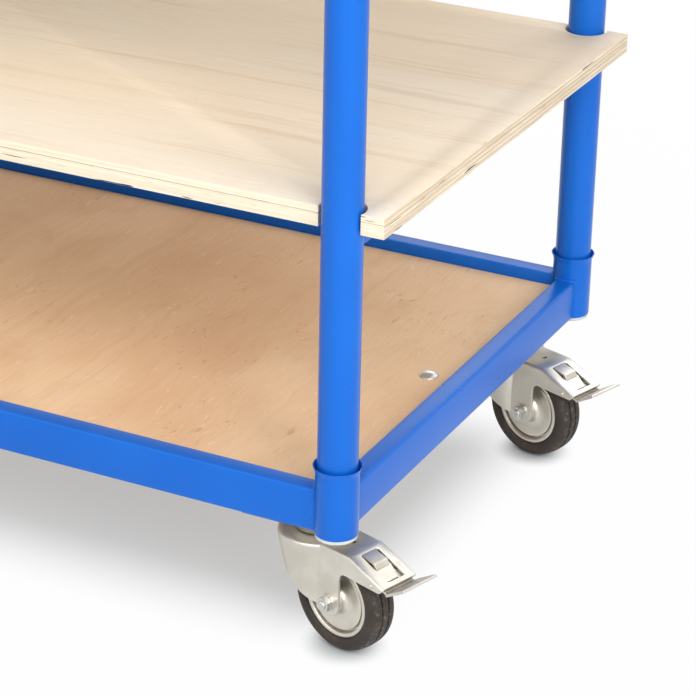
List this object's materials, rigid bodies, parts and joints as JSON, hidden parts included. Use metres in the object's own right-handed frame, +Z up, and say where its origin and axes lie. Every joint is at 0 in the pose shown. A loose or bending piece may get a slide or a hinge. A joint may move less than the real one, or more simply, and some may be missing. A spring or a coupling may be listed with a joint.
{
  "type": "shelf trolley",
  "caption": "Shelf trolley: plywood boards between tubular posts that plug into a welded blue base frame, with push bars at the ends and braked swivel and fixed castors.",
  "frame": {"origin": "on the floor, under the middle of the overall length and width", "axes": "+X along the trolley to the end with the braked swivel castors, +Y across it to the back, +Z up"},
  "size_m": [1.0414, 0.5626, 0.963],
  "materials": {
    "blue_paint": "glossy powder coat on steel",
    "zinc": "zinc-plated pressed steel",
    "tyre": "dark grey rubber",
    "deck_plywood": "tan plywood, sealed",
    "shelf_plywood": "pale plywood, bare",
    "cap_plastic": "pale plastic"
  },
  "bodies": {
    "frame": {"front_rail": "blue_paint", "rear_rail": "blue_paint", "left_rail": "blue_paint", "left_push_bar": "blue_paint", "middle_cross_bar_left": "blue_paint", "top_cross_bar_left": "blue_paint", "right_rail": "blue_paint", "right_push_bar": "blue_paint", "middle_cross_bar_right": "blue_paint", "top_cross_bar_right": "blue_paint", "post_front_left": "blue_paint", "post_rear_left": "blue_paint", "post_front_right": "blue_paint", "post_rear_right": "blue_paint", "corner_sleeves": "blue_paint", "post_caps": "cap_plastic", "corner_plates": "blue_paint", "deck_bearers": "blue_paint", "deck_tabs": "blue_paint", "lower_deck": "deck_plywood", "middle_shelf": "shelf_plywood", "top_shelf": "shelf_plywood", "swivel_plates": "zinc", "fixed_brackets": "zinc"},
    "castor_front": {"swivel_fork_front": "zinc"},
    "pedal_front": {"brake_pedal_front": "zinc"},
    "wheel_front_right": {"rim_front_right": "zinc", "tyre_front_right": "tyre"},
    "wheel_front_left": {"rim_front_left": "zinc", "tyre_front_left": "tyre"},
    "castor_rear": {"swivel_fork_rear": "zinc"},
    "pedal_rear": {"brake_pedal_rear": "zinc"},
    "wheel_rear_right": {"rim_rear_right": "zinc", "tyre_rear_right": "tyre"},
    "wheel_rear_left": {"rim_rear_left": "zinc", "tyre_rear_left": "tyre"}
  },
  "joints": [
    {"name": "castor_front_swivel", "type": "hinge", "parent": "frame", "child": "castor_front", "pos_m": [0.39681, -0.2125, 0.1045], "axis": [0, 0, 1], "continuous": true},
    {"name": "wheel_front_right_spin", "type": "hinge", "parent": "castor_front", "child": "wheel_front_right", "pos_m": [0.43105, -0.22362, 0.05], "axis": [0.309, 0.9511, 0], "continuous": true},
    {"name": "pedal_front_press", "type": "hinge", "parent": "castor_front", "child": "pedal_front", "pos_m": [0.4786, -0.23908, 0.087], "axis": [0.309, 0.9511, 0], "range_deg": [0, 18]},
    {"name": "wheel_front_left_spin", "type": "hinge", "parent": "frame", "child": "wheel_front_left", "pos_m": [-0.43819, -0.2125, 0.05], "axis": [0, 1, 0], "continuous": true},
    {"name": "castor_rear_swivel", "type": "hinge", "parent": "frame", "child": "castor_rear", "pos_m": [0.39681, 0.2125, 0.1045], "axis": [0, 0, 1], "continuous": true},
    {"name": "wheel_rear_right_spin", "type": "hinge", "parent": "castor_rear", "child": "wheel_rear_right", "pos_m": [0.43105, 0.20137, 0.05], "axis": [0.309, 0.9511, 0], "continuous": true},
    {"name": "pedal_rear_press", "type": "hinge", "parent": "castor_rear", "child": "pedal_rear", "pos_m": [0.4786, 0.18593, 0.087], "axis": [0.309, 0.9511, 0], "range_deg": [0, 18]},
    {"name": "wheel_rear_left_spin", "type": "hinge", "parent": "frame", "child": "wheel_rear_left", "pos_m": [-0.43819, 0.2125, 0.05], "axis": [0, 1, 0], "continuous": true}
  ]
}
